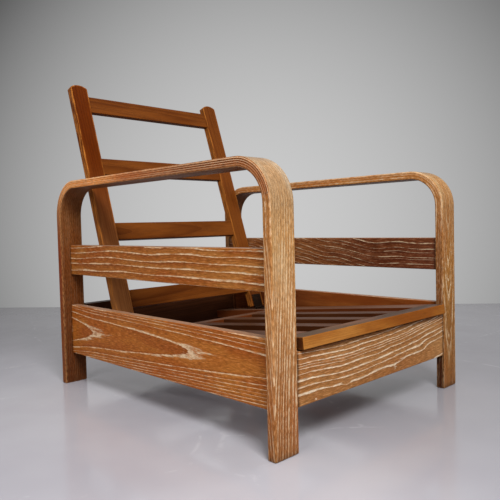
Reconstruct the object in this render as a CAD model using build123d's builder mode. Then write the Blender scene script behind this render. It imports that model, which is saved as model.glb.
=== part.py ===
from build123d import *
import os
from math import cos, radians, sin, tan

os.makedirs("parts", exist_ok=True)

# Frame of a reclining armchair, in millimetres.
# X runs across the chair, Y from the front (minus) to the rear (plus), Z up from the floor.
# The origin lies on the floor below the middle of the whole chair.
# Left and right are those of a person looking at the chair from the front.

# Arm bows, each a bent band that is front leg, arm and rear leg in one
chair_width = 691.0
bow_depth = 823.5
bow_height = 560.0
band_width = 64.4
band_thickness = 20.8
front_bend_radius = 92.0
rear_bend_radius = 96.0
band_edge_radius = 3.0
foot_bevel = 1.2

# Side rails between the legs of each bow
mid_rail_bottom = 304.7
mid_rail_height = 81.0
mid_rail_inset = 26.5
lower_rail_bottom = 84.0
lower_rail_height = 135.4
lower_rail_inset = 23.1
lower_rail_thickness = 22.7
rail_edge_radius = 2.0

# Rails across the chair
cross_rail_bottom = 86.7
front_rail_thickness = 22.7
front_rail_setback = 1.0
rear_rail_height = 131.5
rear_rail_thickness = 30.0
rear_rail_setback = 5.0

# Seat frame, which slides on the front rail
seat_slope = 5.7
seat_front_height = 219.6
seat_overhang = 7.2
seat_side_gap = 7.6
seat_rest_gap = 0.8
seat_tail_gap = 1.0
board_thickness = 23.8
front_board_width = 46.0
side_member_width = 70.5
cross_member_width = 45.0
cross_member_to_foot = 88.0
slat_width = 44.0
slat_thickness = 15.0
slat_pitch = 110.0
slat_names = ("left", "middle", "right")
slat_tenon_length = 12.0
slat_tenon_thickness = 7.0
slat_shoulder = 6.0
board_edge_radius = 1.5

# Back frame, which leans on its pivot bolts
back_lean = 18.2
back_side_gap = 8.1
foot_from_rear = 192.7
foot_gap = 10.1
stile_length = 720.0
stile_width = 52.3
stile_thickness = 21.8
stile_crown = 9.0
stile_edge_radius = 2.0
rung_names = ("bottom", "lower", "upper", "top")
rung_first = 75.0
rung_last = 57.6
rung_height = 50.0
rung_thickness = 15.8
rung_tenon_length = 20.0
rung_tenon_thickness = 8.0
rung_shoulder = 6.0

# Dowels in the fixed joints
dowel_radius = 4.0
dowel_depth = 15.0
dowel_chamfer = 0.8
dowel_spread_share = 0.5

# Pivot bolts and the spacers round them
bolt_radius = 4.0
bolt_grip = 28.0
bolt_head_radius = 8.5
bolt_head_thickness = 4.0
bolt_head_rounding = 2.5
bolt_slot_width = 1.6
bolt_slot_depth = 1.5
spacer_radius = 14.0

# Iron butt hinges between the stiles' feet and the seat
leaf_width = 36.0
leaf_height = 45.0
leaf_thickness = 2.0
leaf_corner_radius = 1.5
knuckle_radius = 3.5
knuckle_count = 3
pin_radius = 1.6
hinge_swing = 20.0
foot_lift = 1.5
screw_head_radius = 3.4
screw_head_depth = 2.0
screw_shank_radius = 1.7
screw_length = 14.0
screw_point = 3.0
screw_slot_width = 0.8
screw_slot_depth = 0.7
screw_spread = 19.0
screw_near = 17.0
screw_far = 36.0

# Clearances
glue_gap = 0.1
pin_gap = 0.08
move_gap = 0.4

# Chair widths that follow from the sizes above
bow_mid_x = (chair_width - band_width) / 2
inner_x = chair_width / 2 - band_width
seat_half_width = inner_x - seat_side_gap
back_half_width = inner_x - back_side_gap
stile_mid_x = back_half_width - stile_width / 2
stile_inner_x = back_half_width - stile_width
member_mid_x = seat_half_width - side_member_width / 2
member_inner_x = seat_half_width - side_member_width
mid_rail_thickness = band_width - mid_rail_inset
mid_rail_x = inner_x + mid_rail_thickness / 2
lower_rail_x = chair_width / 2 - lower_rail_inset - lower_rail_thickness / 2

# Depths, placed so that the chair's front and rear are equally far from the origin
slope = radians(seat_slope)
lean = radians(back_lean)
board_rounding = board_edge_radius * (sin(slope) + cos(slope) - 1)
stile_rounding = stile_edge_radius * (sin(lean) + cos(lean) - 1)
front_reach = seat_overhang + board_thickness * sin(slope) - board_rounding
foot_from_front = bow_depth - foot_from_rear
rear_reach = foot_from_front + stile_length * sin(lean) + stile_thickness * cos(lean) - stile_rounding
bow_front_y = (front_reach - rear_reach) / 2
bow_mid_y = bow_front_y + bow_depth / 2
bow_rear_y = bow_front_y + bow_depth
leg_inner_half = bow_depth / 2 - band_thickness
front_rail_front_y = bow_front_y + front_rail_setback
front_rail_y = front_rail_front_y + front_rail_thickness / 2
rear_rail_back_y = bow_rear_y - rear_rail_setback
rear_rail_y = rear_rail_back_y - rear_rail_thickness / 2
rear_rail_front_y = rear_rail_back_y - rear_rail_thickness

# Seat plane: origin on the front board's upper front edge, Y to the rear along the slope
seat_front_y = bow_front_y - seat_overhang
foot_run = foot_from_front + seat_overhang
seat_plane = Plane(
    origin=(0, seat_front_y, seat_front_height),
    x_dir=(1, 0, 0),
    z_dir=(0, sin(slope), cos(slope)),
)
along_seat = Axis((0, 0, 0), seat_plane.y_dir)
up_from_seat = Axis((0, 0, 0), seat_plane.z_dir)
member_end = (rear_rail_front_y - seat_tail_gap - seat_front_y) / cos(slope)
member_length = member_end - front_board_width
front_rail_back_run = front_rail_y + front_rail_thickness / 2 - seat_front_y
seat_underside = seat_front_height - board_thickness / cos(slope) - front_rail_back_run * tan(slope)
front_rail_height = seat_underside - seat_rest_gap - cross_rail_bottom
cross_member_start = foot_run / cos(slope) - cross_member_to_foot - cross_member_width

# Back plane: origin at the foot's lower front edge, Y up along the lean, Z to the front
foot_y = seat_front_y + foot_run
foot_height = seat_front_height - foot_run * tan(slope) + foot_gap
back_plane = Plane(
    origin=(0, foot_y, foot_height),
    x_dir=(1, 0, 0),
    z_dir=(0, -cos(lean), sin(lean)),
)
along_back = Axis((0, 0, 0), back_plane.y_dir)
ahead_of_back = Axis((0, 0, 0), back_plane.z_dir)
rung_pitch = (stile_length - rung_first - rung_last) / (len(rung_names) - 1)
pivot_height = mid_rail_bottom + mid_rail_height / 2
pivot_rise = (pivot_height - foot_height + stile_thickness / 2 * sin(lean)) / cos(lean)
pivot_y = foot_y + pivot_rise * sin(lean) + stile_thickness / 2 * cos(lean)

# Hinge pin: equally far above the seat and ahead of the stile, so that both leaves lie flat
pin_offset = knuckle_radius + move_gap
tilt = lean - slope
foot_above_seat = foot_gap * cos(slope)
pin_rise = (pin_offset * (1 - sin(tilt)) - foot_above_seat) / cos(tilt)
pin_y = foot_y + pin_rise * sin(lean) - pin_offset * cos(lean)
pin_z = foot_height + pin_rise * cos(lean) + pin_offset * sin(lean)
stile_leaf_plane = Plane(origin=(0, pin_y, pin_z), x_dir=(1, 0, 0), z_dir=back_plane.z_dir)
seat_leaf_plane = Plane(origin=(0, pin_y, pin_z), x_dir=(1, 0, 0), z_dir=seat_plane.z_dir)

# Bevel that keeps the foot's rear edge off the seat when the back is fully reclined
folded = radians(90 - hinge_swing) - tilt
foot_drop = pin_offset - foot_lift
bevel_rise = pin_rise + ((stile_thickness + pin_offset) * cos(folded) - foot_drop) / sin(folded)
bevel_depth = stile_thickness + pin_offset + (pin_rise * sin(folded) - foot_drop) / cos(folded)

sides = {"left": -1, "right": 1}


def save(node, name):
    node.part.label = name
    export_step(node.part, "parts/" + name + ".step")


def dowel_pair(point, direction, spread_direction, spread):
    """Two dowel stations on a joint face, their axes along the given direction."""
    stations = []
    for end in (-1, 1):
        shift = [end * spread / 2 * part for part in spread_direction]
        place = tuple(a + b for a, b in zip(point, shift))
        stations.append(Plane(origin=place, z_dir=direction).location)
    return stations


def bore_dowel_holes(stations):
    with Locations(*stations):
        Cylinder(dowel_radius + glue_gap, 2 * (dowel_depth + glue_gap), mode=Mode.SUBTRACT)


# Dowel stations in the carcass
side_dowels = {}
cross_dowels = {}
for side, sign in sides.items():
    side_dowels[side] = []
    cross_dowels[side] = []
    for end in (-1, 1):
        joint_y = bow_mid_y + end * leg_inner_half
        for rail_x, rail_bottom, rail_height in (
            (mid_rail_x, mid_rail_bottom, mid_rail_height),
            (lower_rail_x, lower_rail_bottom, lower_rail_height),
        ):
            joint = (sign * rail_x, joint_y, rail_bottom + rail_height / 2)
            spread = dowel_spread_share * rail_height
            side_dowels[side] += dowel_pair(joint, (0, 1, 0), (0, 0, 1), spread)
    for rail_front, rail_back, rail_height in (
        (front_rail_front_y, bow_front_y + band_thickness, front_rail_height),
        (bow_rear_y - band_thickness, rear_rail_back_y, rear_rail_height),
    ):
        joint = (sign * inner_x, (rail_front + rail_back) / 2, cross_rail_bottom + rail_height / 2)
        spread = dowel_spread_share * rail_height
        cross_dowels[side] += dowel_pair(joint, (1, 0, 0), (0, 0, 1), spread)

# Arm bows
for side, sign in sides.items():
    with BuildPart() as arm_bow:
        for depth, height, inset, mode in (
            (bow_depth, bow_height, 0, Mode.ADD),
            (2 * leg_inner_half, bow_height - band_thickness, band_thickness, Mode.SUBTRACT),
        ):
            with BuildSketch(Plane.YZ.offset(sign * bow_mid_x)) as arch:
                with Locations((bow_mid_y, 0)):
                    Rectangle(depth, height, align=(Align.CENTER, Align.MIN))
                fillet(arch.vertices().group_by(Axis.Y)[-1].sort_by(Axis.X)[0], front_bend_radius - inset)
                fillet(arch.vertices().group_by(Axis.Y)[-1].sort_by(Axis.X)[-1], rear_bend_radius - inset)
            extrude(amount=band_width / 2, both=True, mode=mode)
        band_sides = arm_bow.faces().filter_by(Plane.YZ).edges()
        long_edges = band_sides.filter_by(lambda edge: edge.center().Z > band_edge_radius)
        fillet(long_edges, band_edge_radius)
        chamfer(arm_bow.faces().sort_by(Axis.Z)[:2].edges(), foot_bevel)
        bore_dowel_holes(side_dowels[side] + cross_dowels[side])
    save(arm_bow, "arm_bow_" + side)

# Mid rails, which carry the pivots of the back
for side, sign in sides.items():
    with BuildPart() as mid_rail:
        with Locations((sign * mid_rail_x, bow_mid_y, mid_rail_bottom)):
            Box(
                mid_rail_thickness,
                2 * leg_inner_half,
                mid_rail_height,
                align=(Align.CENTER, Align.CENTER, Align.MIN),
            )
        fillet(mid_rail.edges().filter_by(Axis.Y), rail_edge_radius)
        bore_dowel_holes(side_dowels[side])
        with Locations((sign * inner_x, pivot_y, pivot_height)):
            Cylinder(
                bolt_radius + glue_gap,
                2 * (bolt_grip + glue_gap),
                rotation=(0, 90, 0),
                mode=Mode.SUBTRACT,
            )
    save(mid_rail, "mid_rail_" + side)

# Lower rails
for side, sign in sides.items():
    with BuildPart() as lower_rail:
        with Locations((sign * lower_rail_x, bow_mid_y, lower_rail_bottom)):
            Box(
                lower_rail_thickness,
                2 * leg_inner_half,
                lower_rail_height,
                align=(Align.CENTER, Align.CENTER, Align.MIN),
            )
        fillet(lower_rail.edges().filter_by(Axis.Y), rail_edge_radius)
        bore_dowel_holes(side_dowels[side])
    save(lower_rail, "lower_rail_" + side)

# Front and rear rails
for name, rail_y, rail_thickness, rail_height in (
    ("front_rail", front_rail_y, front_rail_thickness, front_rail_height),
    ("rear_rail", rear_rail_y, rear_rail_thickness, rear_rail_height),
):
    with BuildPart() as cross_rail:
        with Locations((0, rail_y, cross_rail_bottom)):
            Box(2 * inner_x, rail_thickness, rail_height, align=(Align.CENTER, Align.CENTER, Align.MIN))
        fillet(cross_rail.edges().filter_by(Axis.X), rail_edge_radius)
        bore_dowel_holes(cross_dowels["left"] + cross_dowels["right"])
    save(cross_rail, name)

# Dowels of the carcass, all alike
all_rail_dowels = side_dowels["left"] + side_dowels["right"] + cross_dowels["left"] + cross_dowels["right"]
with BuildPart() as rail_dowels:
    with Locations(*all_rail_dowels):
        Cylinder(dowel_radius, 2 * dowel_depth)
    chamfer(rail_dowels.edges().filter_by(GeomType.CIRCLE), dowel_chamfer)
save(rail_dowels, "rail_dowels")

# Pivot bolts, fixed in the mid rails, with a domed and slotted head on the stile's inner side
with BuildPart() as pivot_bolts:
    with BuildSketch(Plane.YZ.offset(stile_inner_x - move_gap)):
        with Locations((pivot_y, pivot_height)):
            Circle(bolt_head_radius)
    extrude(amount=-bolt_head_thickness)
    fillet(pivot_bolts.edges().sort_by(Axis.X)[0], bolt_head_rounding)
    with BuildSketch(Plane.YZ.offset(stile_inner_x - move_gap)):
        with Locations((pivot_y, pivot_height)):
            Circle(bolt_radius)
    extrude(amount=inner_x + bolt_grip - stile_inner_x + move_gap)
    with Locations((stile_inner_x - move_gap - bolt_head_thickness, pivot_y, pivot_height)):
        Box(2 * bolt_slot_depth, 2 * bolt_head_radius, bolt_slot_width, mode=Mode.SUBTRACT)
    mirror(about=Plane.YZ)
save(pivot_bolts, "pivot_bolts")

# Spacers that fill the gap between stile and mid rail round each bolt
with BuildPart() as pivot_spacers:
    with BuildSketch(Plane.YZ.offset(back_half_width + move_gap)):
        with Locations((pivot_y, pivot_height)):
            Circle(spacer_radius)
            Circle(bolt_radius + glue_gap, mode=Mode.SUBTRACT)
    extrude(amount=back_side_gap - move_gap)
    mirror(about=Plane.YZ)
save(pivot_spacers, "pivot_spacers")

# Screws of the hinges, head face up at the origin
def screw_outline(grow):
    Polygon(
        (0, grow),
        (screw_head_radius + grow, grow),
        (screw_shank_radius + grow, -screw_head_depth),
        (screw_shank_radius + grow, screw_point - screw_length),
        (0, -screw_length - grow),
        align=None,
    )


with BuildPart() as hinge_screw:
    with BuildSketch(Plane.XZ):
        screw_outline(0)
    revolve(axis=Axis.Z)
    Box(2 * screw_head_radius, screw_slot_width, 2 * screw_slot_depth, mode=Mode.SUBTRACT)
with BuildPart() as screw_hole:
    with BuildSketch(Plane.XZ):
        screw_outline(glue_gap)
    revolve(axis=Axis.Z)

screw_face = leaf_thickness - pin_offset
screw_places = {"stile": {}, "seat": {}}
for side, sign in sides.items():
    for kind, leaf_plane, way in (("stile", stile_leaf_plane, 1), ("seat", seat_leaf_plane, -1)):
        screw_places[kind][side] = [
            leaf_plane.location * Location((sign * stile_mid_x + column, way * row, screw_face))
            for column in (-screw_spread / 2, screw_spread / 2)
            for row in (screw_near, screw_far)
        ]

# Back stiles
stile_mortise_x = stile_inner_x + (rung_tenon_length + glue_gap) / 2
for side, sign in sides.items():
    with BuildPart(back_plane) as back_stile:
        with BuildSketch(back_plane):
            with BuildLine():
                edge_left = sign * stile_mid_x - stile_width / 2
                edge_right = sign * stile_mid_x + stile_width / 2
                top_left = (edge_left, stile_length - stile_crown)
                top_right = (edge_right, stile_length - stile_crown)
                Polyline(top_left, (edge_left, 0), (edge_right, 0), top_right)
                ThreePointArc(top_left, (sign * stile_mid_x, stile_length), top_right)
            make_face()
        extrude(amount=-stile_thickness)
        rear_face = back_stile.faces().sort_by(ahead_of_back)[0]
        rear_foot_edge = rear_face.edges().sort_by(along_back)[0]
        chamfer(rear_foot_edge, bevel_rise, bevel_depth, reference=rear_face)
        fillet(back_stile.edges().filter_by(along_back), stile_edge_radius)
        fillet(back_stile.faces().sort_by(along_back)[-1].edges(), stile_edge_radius)
        for row in range(len(rung_names)):
            with Locations((sign * stile_mortise_x, rung_first + row * rung_pitch, -stile_thickness / 2)):
                Box(
                    rung_tenon_length + glue_gap,
                    rung_height - 2 * rung_shoulder + 2 * glue_gap,
                    rung_tenon_thickness + 2 * glue_gap,
                    mode=Mode.SUBTRACT,
                )
        with Locations((sign * stile_mid_x, pivot_rise, -stile_thickness / 2)):
            Cylinder(bolt_radius + pin_gap, 2 * stile_width, rotation=(0, 90, 0), mode=Mode.SUBTRACT)
    with BuildPart() as drilled_stile:
        add(back_stile.part)
        with Locations(*screw_places["stile"][side]):
            add(screw_hole.part, mode=Mode.SUBTRACT)
    save(drilled_stile, "back_stile_" + side)

# Rungs of the back, tenoned into the stiles
for row, name in enumerate(rung_names):
    with BuildPart(back_plane) as back_rung:
        with Locations((0, rung_first + row * rung_pitch, -stile_thickness / 2)):
            Box(2 * stile_inner_x, rung_height, rung_thickness)
            fillet(back_rung.edges().filter_by(Axis.X), stile_edge_radius)
            Box(
                2 * (stile_inner_x + rung_tenon_length),
                rung_height - 2 * rung_shoulder,
                rung_tenon_thickness,
            )
    save(back_rung, "back_rung_" + name)

# Dowel stations in the seat frame
seat_dowels = {}
for side, sign in sides.items():
    seat_dowels[side] = []
    for end in (-1, 1):
        member_x = sign * member_mid_x + side_member_width * end * dowel_spread_share / 2
        board_joint = Location((member_x, front_board_width, -board_thickness / 2), (90, 0, 0))
        cross_y = cross_member_start + cross_member_width * (1 + end * dowel_spread_share) / 2
        cross_joint = Location((sign * member_inner_x, cross_y, -board_thickness / 2), (0, 90, 0))
        seat_dowels[side] += [seat_plane.location * board_joint, seat_plane.location * cross_joint]
all_seat_dowels = seat_dowels["left"] + seat_dowels["right"]

slat_places = [(column - (len(slat_names) - 1) / 2) * slat_pitch for column in range(len(slat_names))]


def cut_slat_mortises(joint, way):
    """Mortises for the slats in a face across the seat, opening to the given way along it."""
    depth = slat_tenon_length + glue_gap
    for slat_x in slat_places:
        with Locations((slat_x, joint - way * depth / 2, -slat_thickness / 2)):
            Box(
                slat_width - 2 * slat_shoulder + 2 * glue_gap,
                depth,
                slat_tenon_thickness + 2 * glue_gap,
                mode=Mode.SUBTRACT,
            )


# Front board of the seat
with BuildPart(seat_plane) as seat_front_board:
    Box(
        2 * seat_half_width,
        front_board_width,
        board_thickness,
        align=(Align.CENTER, Align.MIN, Align.MAX),
    )
    fillet(seat_front_board.edges().filter_by(Axis.X), board_edge_radius)
    fillet(seat_front_board.edges().filter_by(up_from_seat), board_edge_radius)
    cut_slat_mortises(front_board_width, 1)
with BuildPart() as drilled_board:
    add(seat_front_board.part)
    bore_dowel_holes(all_seat_dowels)
save(drilled_board, "seat_front_board")

# Rear cross member of the seat
with BuildPart(seat_plane) as seat_rear_cross:
    with Locations((0, cross_member_start, 0)):
        Box(
            2 * member_inner_x,
            cross_member_width,
            board_thickness,
            align=(Align.CENTER, Align.MIN, Align.MAX),
        )
    fillet(seat_rear_cross.edges().filter_by(Axis.X), board_edge_radius)
    cut_slat_mortises(cross_member_start, -1)
with BuildPart() as drilled_cross:
    add(seat_rear_cross.part)
    bore_dowel_holes(all_seat_dowels)
save(drilled_cross, "seat_rear_cross")

# Side members of the seat, whose tails stop against the rear rail
for side, sign in sides.items():
    with BuildPart(seat_plane) as seat_side:
        with Locations((sign * member_mid_x, front_board_width, 0)):
            Box(
                side_member_width,
                member_length,
                board_thickness,
                align=(Align.CENTER, Align.MIN, Align.MAX),
            )
        fillet(seat_side.edges().filter_by(along_seat), board_edge_radius)
    with BuildPart() as drilled_side:
        add(seat_side.part)
        bore_dowel_holes(seat_dowels[side])
        with Locations(*screw_places["seat"][side]):
            add(screw_hole.part, mode=Mode.SUBTRACT)
    save(drilled_side, "seat_side_" + side)

# Slats, level with the board and tenoned into it and into the cross member
slat_length = cross_member_start - front_board_width
for slat_x, name in zip(slat_places, slat_names):
    with BuildPart(seat_plane) as seat_slat:
        with Locations((slat_x, front_board_width + slat_length / 2, -slat_thickness / 2)):
            Box(slat_width, slat_length, slat_thickness)
            fillet(seat_slat.edges().filter_by(along_seat), board_edge_radius)
            Box(
                slat_width - 2 * slat_shoulder,
                slat_length + 2 * slat_tenon_length,
                slat_tenon_thickness,
            )
    save(seat_slat, "seat_slat_" + name)

# Dowels of the seat frame
with BuildPart() as seat_dowel_set:
    with Locations(*all_seat_dowels):
        Cylinder(dowel_radius, 2 * dowel_depth)
    chamfer(seat_dowel_set.edges().filter_by(GeomType.CIRCLE), dowel_chamfer)
save(seat_dowel_set, "seat_dowels")

# Hinge leaves: a plate screwed to the wood and the knuckles it is rolled into
knuckle_width = (leaf_width - (knuckle_count - 1) * move_gap) / knuckle_count
knuckle_pitch = knuckle_width + move_gap
plate_start = knuckle_radius + move_gap
for kind, leaf_plane, way, knuckles in (
    ("stile", stile_leaf_plane, 1, (0,)),
    ("seat", seat_leaf_plane, -1, (-1, 1)),
):
    for side, sign in sides.items():
        leaf_x = sign * stile_mid_x
        with BuildPart(leaf_plane) as hinge_leaf:
            plate_middle = leaf_thickness / 2 - pin_offset
            with Locations((leaf_x, way * (plate_start + leaf_height) / 2, plate_middle)):
                Box(leaf_width, leaf_height - plate_start, leaf_thickness)
            upright_edges = hinge_leaf.edges().filter_by(Axis((0, 0, 0), leaf_plane.z_dir))
            fillet(upright_edges.sort_by(Axis((0, 0, 0), leaf_plane.y_dir * way))[-2:], leaf_corner_radius)
            for place in knuckles:
                with Locations((leaf_x + place * knuckle_pitch, 0, 0)):
                    Cylinder(knuckle_radius, knuckle_width, rotation=(0, 90, 0))
                with Locations((leaf_x + place * knuckle_pitch, way * plate_start / 2, plate_middle)):
                    Box(knuckle_width, plate_start, leaf_thickness)
            with Locations((leaf_x, 0, 0)):
                Cylinder(pin_radius + pin_gap, 2 * leaf_width, rotation=(0, 90, 0), mode=Mode.SUBTRACT)
        with BuildPart() as drilled_leaf:
            add(hinge_leaf.part)
            with Locations(*screw_places[kind][side]):
                add(screw_hole.part, mode=Mode.SUBTRACT)
        save(drilled_leaf, kind + "_hinge_leaf_" + side)

# Hinge pins
with BuildPart(stile_leaf_plane) as hinge_pins:
    with Locations((-stile_mid_x, 0, 0), (stile_mid_x, 0, 0)):
        Cylinder(pin_radius, leaf_width, rotation=(0, 90, 0))
save(hinge_pins, "hinge_pins")

# Hinge screws in the stiles and in the seat
for kind in ("stile", "seat"):
    with BuildPart() as screw_set:
        with Locations(*screw_places[kind]["left"], *screw_places[kind]["right"]):
            add(hinge_screw.part)
    save(screw_set, kind + "_hinge_screws")
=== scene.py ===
import bmesh
import bpy
from math import cos, pi, radians, sin
from mathutils import Matrix, Vector


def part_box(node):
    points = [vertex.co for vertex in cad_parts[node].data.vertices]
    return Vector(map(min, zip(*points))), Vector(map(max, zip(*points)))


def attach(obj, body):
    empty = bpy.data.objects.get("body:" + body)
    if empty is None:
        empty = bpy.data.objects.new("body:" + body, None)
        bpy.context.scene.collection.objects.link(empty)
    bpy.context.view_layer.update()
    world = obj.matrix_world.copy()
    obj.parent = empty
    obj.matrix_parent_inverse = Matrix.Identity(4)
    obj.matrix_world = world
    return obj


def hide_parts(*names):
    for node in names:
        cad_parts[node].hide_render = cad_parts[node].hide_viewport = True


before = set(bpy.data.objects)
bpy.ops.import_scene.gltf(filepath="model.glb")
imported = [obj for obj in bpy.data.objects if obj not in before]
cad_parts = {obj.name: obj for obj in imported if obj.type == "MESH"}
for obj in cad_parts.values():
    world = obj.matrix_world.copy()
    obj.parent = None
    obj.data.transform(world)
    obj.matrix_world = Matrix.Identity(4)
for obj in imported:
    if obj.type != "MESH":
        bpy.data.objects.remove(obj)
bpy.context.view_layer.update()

print("frame loaded:", len(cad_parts), "nodes")


# Small helpers for node trees

building = {}  # holds the tree that new nodes go into


def startTree(owner):
    owner.use_nodes = True
    owner.node_tree.nodes.clear()
    building["tree"] = owner.node_tree
    return owner


def addNode(kind, inputs=None, **choices):
    # kind is a node's name without ShaderNode, with which all of them start
    tree = building["tree"]
    made = tree.nodes.new("ShaderNode" + kind)
    for choice, value in choices.items():
        setattr(made, choice, value)
    for socket, value in (inputs or {}).items():
        if isinstance(value, bpy.types.NodeSocket):
            tree.links.new(value, made.inputs[socket])
        else:
            made.inputs[socket].default_value = value
    return made


def calc(operation, *values):
    return addNode("Math", dict(enumerate(values)), operation=operation).outputs[0]


def times(first, *others):
    for other in others:
        first = calc("MULTIPLY", first, other)
    return first


def vectorCalc(operation, *vectors):
    made = addNode("VectorMath", dict(enumerate(vectors)), operation=operation)
    return made.outputs["Value" if operation in ("LENGTH", "DISTANCE") else "Vector"]


def axesOf(vector):
    return addNode("SeparateXYZ", {0: vector}).outputs


def noise(place, pace, detail, roughness=0.5, distortion=0.0, output=0):
    # pace is how fine the pattern is along each axis, in blotches to the metre
    inputs = {
        "Vector": vectorCalc("MULTIPLY", place, pace), "Scale": 1.0, "Detail": detail,
        "Roughness": roughness, "Distortion": distortion,
    }
    return addNode("TexNoise", inputs).outputs[output]


def ease(value, start, end, low=0.0, high=1.0, way="SMOOTHSTEP"):
    inputs = {"Value": value, "From Min": start, "From Max": end, "To Min": low, "To Max": high}
    return addNode("MapRange", inputs, interpolation_type=way).outputs[0]


def blendColor(share, first, second, way="MIX"):
    inputs = {0: share, 6: first, 7: second}
    return addNode("Mix", inputs, data_type="RGBA", blend_type=way).outputs[2]


def bumpOf(relief, strength, distance):
    inputs = {"Strength": strength, "Distance": distance, "Height": relief}
    return addNode("Bump", inputs).outputs[0]


def surface(color, roughness, **others):
    shader = addNode("BsdfPrincipled", {"Base Color": color, "Roughness": roughness, **others})
    addNode("OutputMaterial", {"Surface": shader.outputs[0]})


def tone(red, green, blue):
    def linear(level):
        level /= 255
        return level / 12.92 if level <= 0.04045 else ((level + 0.055) / 1.055) ** 2.4
    return (linear(red), linear(green), linear(blue), 1.0)


def browns(brown, deep, pale, stain):
    return {"brown": tone(*brown), "deepBrown": tone(*deep), "paleBrown": tone(*pale), "stain": tone(*stain)}


# Oak with the rings of a log: boards carry their place in the log as the attribute grainSpace
# (x along the grain, y across the board, z through it), and edgeWear along their worn edges.

limedOak = {
    "ringSpacing": 0.0042, "unevenRings": 0.7,
    "pith": (0.0, -0.15),  # where the log's middle lies, across and below the board's face
    "tilt": (0.0, -0.012),  # how the log's middle runs out of line along the board
    "straightFrom": 9.0,  # length along the grain from which the log no longer tilts
    "wobble": (0.003, 0.002),  # across and through the board
    "wobblePace": (2.2, 9.0, 9.0),
    "sag": None,  # how the rings bend away from the board's middle
    "swells": (),  # places where the rings rise: along, across, length, width, height
    "poreBand": 0.15,  # share of a ring that holds pores
    "ragged": 0.12, "raggedPace": (60.0, 380.0, 380.0), "lime": 0.95, "strayLime": 0.22,
    "dashes": 0.4,  # least share of lime along a line
    "darkPores": 0.0,
    **browns((168, 98, 44), (142, 78, 32), (184, 122, 66), (146, 72, 26)),
    "limeColor": tone(236, 210, 172), "roughness": 0.46, "gloss": 0.12, "wear": 0.35,
    "rubbed": tone(196, 146, 92), "flecks": 0.42, "dust": 0.55, "dustAndSheenColor": tone(132, 114, 98),
}

brownOak = {
    **limedOak,
    "ringSpacing": 0.0034, "pith": (0.05, -0.09), "tilt": (0.004, -0.01), "poreBand": 0.3,
    "ragged": 0.3, "raggedPace": (24.0, 240.0, 240.0), "lime": 0.0, "strayLime": 0.0,
    "darkPores": 0.25,
    **browns((116, 58, 16), (90, 42, 10), (142, 84, 28), (146, 90, 34)),
    "roughness": 0.4, "gloss": 0.04, "rubbed": tone(150, 92, 34), "flecks": 0.1, "dust": 0.4,
    "dustAndSheenColor": tone(126, 104, 86),
}

oakGrain = {
    # how fine each pattern is, along, across and through the board
    "porePace": (95.0, 1500.0, 1500.0), "fibrePace": (14.0, 700.0, 700.0),
    "patchPace": (5.0, 26.0, 26.0), "stainPace": (3.4, 15.0, 15.0), "bandPace": (9.0, 110.0, 110.0),
    "dashPace": (48.0, 90.0, 90.0),
    "unevenPace": 0.43,  # to one ring
    "smoothTurn": 0.06,  # where a tilted log turns straight
    # a ring grows from its start at 0 to its end at 1
    "deepening": (0.15, 0.95), "lateWood": (0.78, 0.98, 0.0, 0.5), "ringStart": (-0.03, 0.01),
    "nextStart": (0.99, 1.03),  # raggedness that runs over into the next ring
    "bandWidths": (0.3, 0.7),  # noise levels of the narrowest and the widest pore band
    "bandShares": (0.4, 1.7),  # and their widths, as shares of poreBand
    "bandFull": 0.45,  # share of the band that is full of pores
    # the noise levels between which a pattern sets in, and its strength before and after
    "openPores": (0.44, 0.58), "limeInPores": (0.0, 1.0, 0.6, 1.0),
    "palePatches": (0.35, 0.72, 0.0, 0.75), "stains": (0.46, 0.64, 0.0, 0.7),
    "darkFibres": (0.3, 0.75, 0.0, 0.35), "fleckLevels": (0.3, 0.7),
    "paleFlecks": 0.6,  # to one dark fleck
    "dashLevels": (0.36, 0.56), "strayLevels": (0.55, 0.72), "rubbedLevels": (0.35, 0.7),
    "dirtAndShadePatches": (0.3, 0.6, 0.5, 0.85), "dustAndSheenPatches": (0.2, 0.6, 0.6, 1.0),
    "dustAndSheenSlope": (0.8, 0.97),  # dust lies, and a grey sheen is painted, where a face looks up by this much
    "sheenLevels": (0.25, 0.75), "sheenSpread": (-0.06, 0.1), "limeRoughness": 0.22,
    "dirtAndShadeReach": (0.011, 0.0005),  # from a board's end
    "relief": (-0.7, 0.5),  # of the pores and the fibres
    "bump": (0.45, 0.0005), "poreColor": tone(62, 32, 15), "dirtAndShadeColor": tone(52, 28, 16),
}


def countedRings(radius, starts):
    # the rings of one log, from the radii at which they start
    curve = addNode("FloatCurve", {"Value": ease(radius, starts[0], starts[-1], way="LINEAR")})
    points = curve.mapping.curves[0].points
    reach = starts[-1] - starts[0]
    while len(points) < len(starts):
        points.new(0.5, 0.5)
    for index, begin in enumerate(starts):
        points[index].location = ((begin - starts[0]) / reach, index / (len(starts) - 1))
        points[index].handle_type = "VECTOR"
    curve.mapping.update()
    return calc("MULTIPLY", curve.outputs[0], len(starts) - 1.0)


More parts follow.
